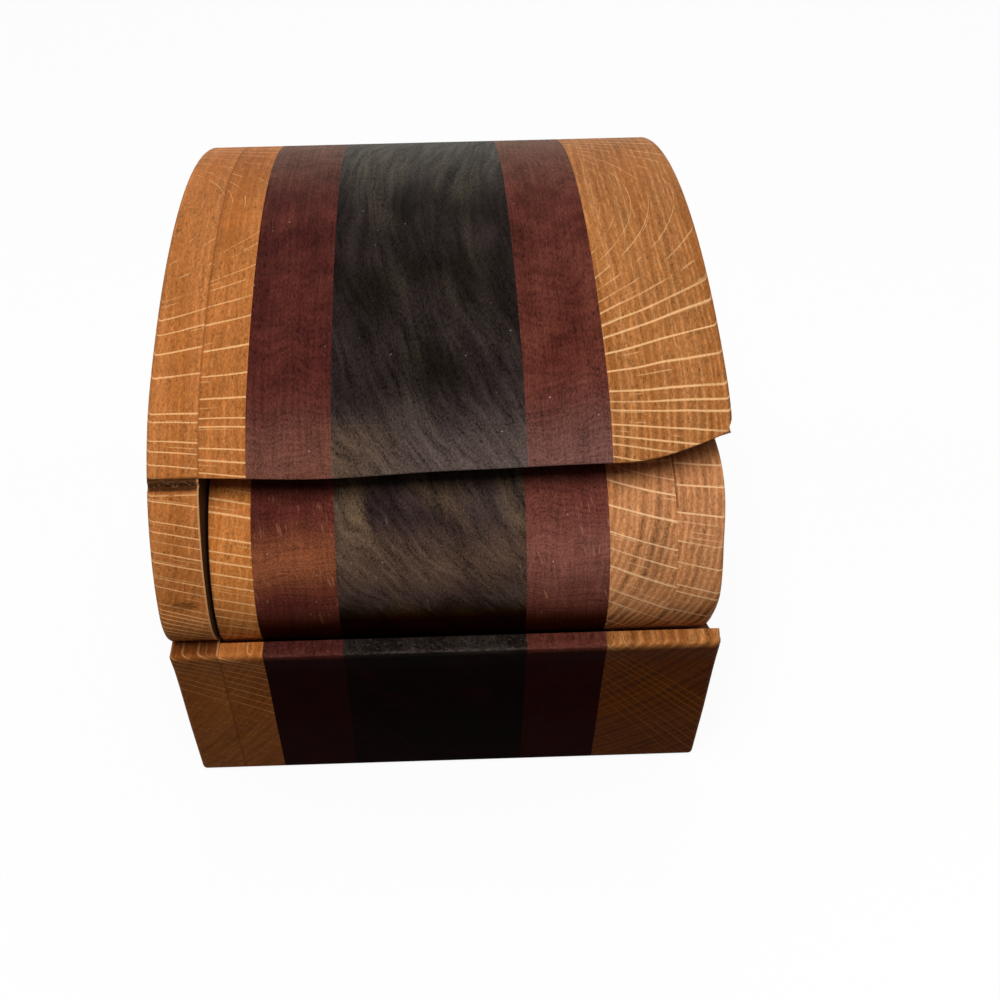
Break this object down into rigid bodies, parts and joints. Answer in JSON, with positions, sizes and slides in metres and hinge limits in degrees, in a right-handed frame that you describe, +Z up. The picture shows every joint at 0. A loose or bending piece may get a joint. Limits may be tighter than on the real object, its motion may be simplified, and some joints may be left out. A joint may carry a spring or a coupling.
{
  "type": "keepsake box",
  "caption": "Oval laminated hardwood box on a tapering foot, with a round-nosed drawer that slides out of its right-hand end",
  "frame": {"origin": "centre of the foot's underside, on the surface that the box stands on", "axes": "+X along the drawer's travel, towards the open right-hand end; +Y from front to back; +Z up"},
  "size_m": [0.095, 0.14, 0.09],
  "materials": {
    "oak": "oiled end grain with pale rays, satin",
    "purpleheart": "dark reddish brown, fine crosshatch, satin",
    "wenge": "near-black brown with a lighter figure, satin"
  },
  "bodies": {
    "carcass": {"carcass_oak_left": "oak", "carcass_purpleheart_left": "purpleheart", "carcass_wenge_centre": "wenge", "carcass_purpleheart_right": "purpleheart", "carcass_oak_right": "oak", "end_cheek": "oak"},
    "drawer": {"drawer_inner_end": "oak", "drawer_purpleheart_left": "purpleheart", "drawer_wenge_centre": "wenge", "drawer_purpleheart_right": "purpleheart", "drawer_oak_right": "oak", "drawer_outer_end": "oak"}
  },
  "joints": [
    {"name": "drawer_slide", "type": "slide", "parent": "carcass", "child": "drawer", "axis": [1, 0, 0], "range_m": [0, 0.075]}
  ]
}
